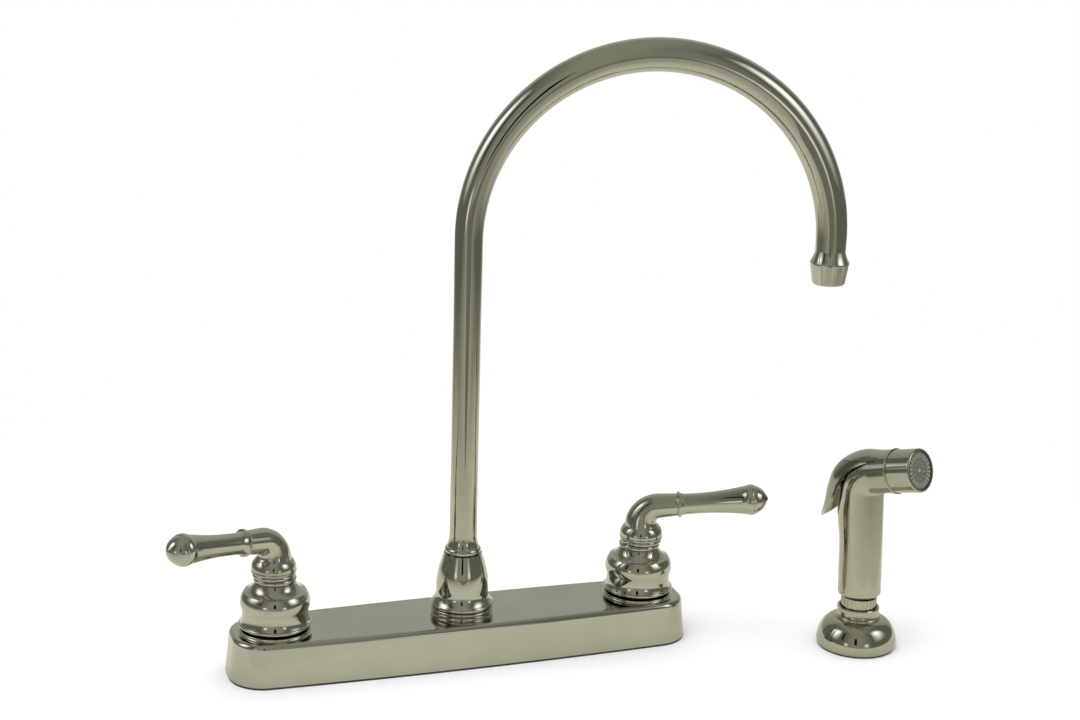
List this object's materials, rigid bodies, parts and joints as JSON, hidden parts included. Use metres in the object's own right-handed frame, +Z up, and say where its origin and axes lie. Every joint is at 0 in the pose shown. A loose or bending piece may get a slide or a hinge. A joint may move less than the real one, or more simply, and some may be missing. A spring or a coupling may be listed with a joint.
{
  "type": "two handle kitchen faucet",
  "caption": "Deck mounted kitchen faucet with lever handles on a long cover plate, a swivelling gooseneck spout and a separate side spray with a thumb trigger.",
  "frame": {"origin": "swivel axis of the spout where it meets the deck, on the underside of the cover's gasket", "axes": "+Z up along the spout's swivel axis; +X along the cover plate from the hot handle to the cold handle; -Y towards the person at the sink"},
  "size_m": [0.4012, 0.1088, 0.3833],
  "materials": {
    "chrome": "polished chrome plate",
    "chrome_plastic": "chrome plated plastic, slightly softer than the metal",
    "brass": "machined brass",
    "copper": "drawn copper tube",
    "stainless": "bright stainless steel",
    "black_rubber": "black moulded rubber",
    "dark_plastic": "black moulded plastic",
    "white_plastic": "white moulded plastic",
    "grey_plastic": "grey moulded plastic",
    "ceramic": "lapped ceramic"
  },
  "bodies": {
    "root": {"deck_cover": "chrome", "deck_gasket": "black_rubber", "mounting_nuts": "white_plastic", "mounting_washers": "stainless", "centre_body": "brass", "spout_o_rings": "black_rubber", "spout_clip": "stainless", "diverter_seat": "white_plastic", "spout_base_ring": "chrome", "swivel_washer": "dark_plastic", "spray_guide": "chrome_plastic", "spray_guide_gasket": "black_rubber", "spray_guide_nut": "white_plastic", "hot_valve_body": "brass", "hot_cartridge": "grey_plastic", "hot_seat_seal": "black_rubber", "hot_fixed_disc": "ceramic", "hot_bonnet_nut": "brass", "hot_crossover_pipe": "copper", "cold_valve_body": "brass", "cold_cartridge": "grey_plastic", "cold_seat_seal": "black_rubber", "cold_fixed_disc": "ceramic", "cold_bonnet_nut": "brass", "cold_crossover_pipe": "copper"},
    "diverter": {"diverter_poppet": "grey_plastic"},
    "spout": {"spout_bulb": "chrome", "spout_neck_ring": "chrome", "spout_tube": "chrome", "aerator_shell": "chrome", "aerator_insert": "white_plastic", "aerator_washer": "black_rubber"},
    "hot_handle": {"hot_bell": "chrome", "hot_elbow": "chrome", "hot_set_screw": "stainless", "hot_grip_ring": "chrome", "hot_grip": "chrome", "hot_stem": "brass", "hot_moving_disc": "ceramic"},
    "cold_handle": {"cold_bell": "chrome", "cold_elbow": "chrome", "cold_set_screw": "stainless", "cold_grip_ring": "chrome", "cold_grip": "chrome", "cold_stem": "brass", "cold_moving_disc": "ceramic"},
    "spray_hose_end": {"hose_coupling": "chrome_plastic", "spray_swivel_o_ring": "black_rubber"},
    "spray_head": {"spray_body": "chrome_plastic", "trigger_pin": "stainless", "nozzle_ring": "chrome_plastic", "nozzle_cap": "chrome_plastic", "spray_face": "grey_plastic"},
    "spray_trigger_lever": {"spray_trigger": "chrome_plastic"},
    "spray_valve": {"spray_plunger": "white_plastic"}
  },
  "joints": [
    {"name": "hot_handle_turn", "type": "hinge", "parent": "root", "child": "hot_handle", "pos_m": [-0.1016, 0, 0.055], "axis": [0, 0, 1], "range_deg": [-30, 60]},
    {"name": "cold_handle_turn", "type": "hinge", "parent": "root", "child": "cold_handle", "pos_m": [0.1016, 0, 0.055], "axis": [0, 0, 1], "range_deg": [-60, 30]},
    {"name": "spout_turn", "type": "hinge", "parent": "root", "child": "spout", "pos_m": [0, 0, 0.04], "axis": [0, 0, 1], "continuous": true},
    {"name": "diverter_lift", "type": "slide", "parent": "root", "child": "diverter", "axis": [0, 0, 1], "range_m": [0, 0.003]},
    {"name": "spray_lift", "type": "slide", "parent": "root", "child": "spray_hose_end", "axis": [0, 0, 1], "range_m": [0, 0.08]},
    {"name": "spray_swivel", "type": "hinge", "parent": "spray_hose_end", "child": "spray_head", "pos_m": [0.2139, -0.048, 0.025], "axis": [0, 0, 1], "continuous": true},
    {"name": "trigger_press", "type": "hinge", "parent": "spray_head", "child": "spray_trigger_lever", "pos_m": [0.21708, -0.05424, 0.108], "axis": [-0.891, -0.454, 0], "range_deg": [0, 8], "stiffness_Nm_per_rad": 0.4, "springref_deg": -8.59},
    {"name": "valve_push", "type": "slide", "parent": "spray_head", "child": "spray_valve", "axis": [0.454, -0.891, 0], "range_m": [0, 0.0035]}
  ],
  "couplings": [
    {"joint": "valve_push", "follows": "trigger_press", "m_per_rad": 0.024}
  ]
}
